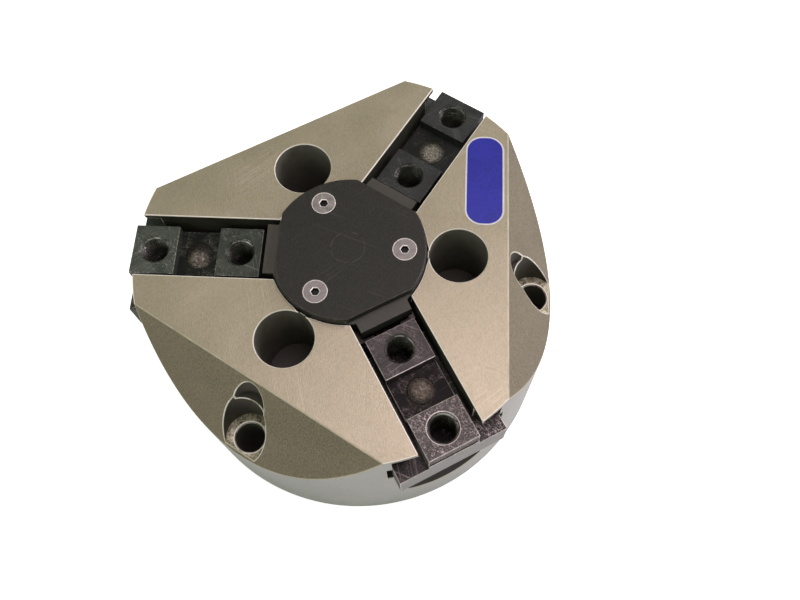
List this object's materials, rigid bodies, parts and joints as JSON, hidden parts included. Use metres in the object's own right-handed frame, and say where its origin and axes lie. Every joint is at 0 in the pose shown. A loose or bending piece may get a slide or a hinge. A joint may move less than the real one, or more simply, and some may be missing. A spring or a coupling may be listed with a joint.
{
  "type": "three jaw centric gripper",
  "caption": "Round pneumatic centric gripper. Base jaws slide in T-slots of a faceted aluminium body and are driven by a wedge hook and piston under a dark centre cover.",
  "frame": {"origin": "centre of the base face, on the gripper's axis", "axes": "+Z along the gripper's axis from the base to the jaws; -X along jaw 1; jaw 2 lies at 60 degrees and jaw 3 at 300 degrees from +X"},
  "size_m": [0.12, 0.1214, 0.0635],
  "materials": {
    "body_metal": "hard anodised, machined, satin",
    "cover_metal": "turned, satin",
    "piston_metal": "turned, hard anodised",
    "dark_cover": "black anodised, satin",
    "jaw_steel": "blackened, ground, oiled",
    "wedge_steel": "hardened and ground",
    "pin_steel": "ground, scratched",
    "screw_steel": "bright zinc plated",
    "black_steel": "black oxide",
    "spring_steel": "drawn wire",
    "bush_bronze": "plain bearing bronze",
    "seal_rubber": "nitrile",
    "guide_plastic": "filled PTFE"
  },
  "bodies": {
    "housing": {"housing": "body_metal", "cylinder_cover": "cover_metal", "cylinder_cover_seal": "seal_rubber", "cylinder_cover_screws": "screw_steel", "cover_plate": "dark_cover", "cover_plate_screws": "screw_steel", "rod_bush": "bush_bronze", "rod_seal": "seal_rubber", "closing_springs": "spring_steel"},
    "piston": {"piston": "piston_metal", "piston_seal": "seal_rubber", "piston_guide_ring": "guide_plastic", "wedge_hook": "wedge_steel", "wedge_hook_screw": "black_steel"},
    "jaw_1": {"base_jaw_1": "jaw_steel", "jaw_pin_1": "pin_steel"},
    "jaw_2": {"base_jaw_2": "jaw_steel", "jaw_pin_2": "pin_steel"},
    "jaw_3": {"base_jaw_3": "jaw_steel", "jaw_pin_3": "pin_steel"}
  },
  "joints": [
    {"name": "piston_slide", "type": "slide", "parent": "housing", "child": "piston", "axis": [0, 0, -1], "range_m": [0, 0.01], "stiffness_N_per_m": 6000, "springref_m": -0.004, "deforming": ["closing_springs"]},
    {"name": "jaw_1_slide", "type": "slide", "parent": "housing", "child": "jaw_1", "axis": [-1, 0, 0], "range_m": [0, 0.008]},
    {"name": "jaw_2_slide", "type": "slide", "parent": "housing", "child": "jaw_2", "axis": [0.5, 0.866, 0], "range_m": [0, 0.008]},
    {"name": "jaw_3_slide", "type": "slide", "parent": "housing", "child": "jaw_3", "axis": [0.5, -0.866, 0], "range_m": [0, 0.008]}
  ],
  "couplings": [
    {"joint": "jaw_1_slide", "follows": "piston_slide", "ratio": 0.8},
    {"joint": "jaw_2_slide", "follows": "piston_slide", "ratio": 0.8},
    {"joint": "jaw_3_slide", "follows": "piston_slide", "ratio": 0.8}
  ]
}
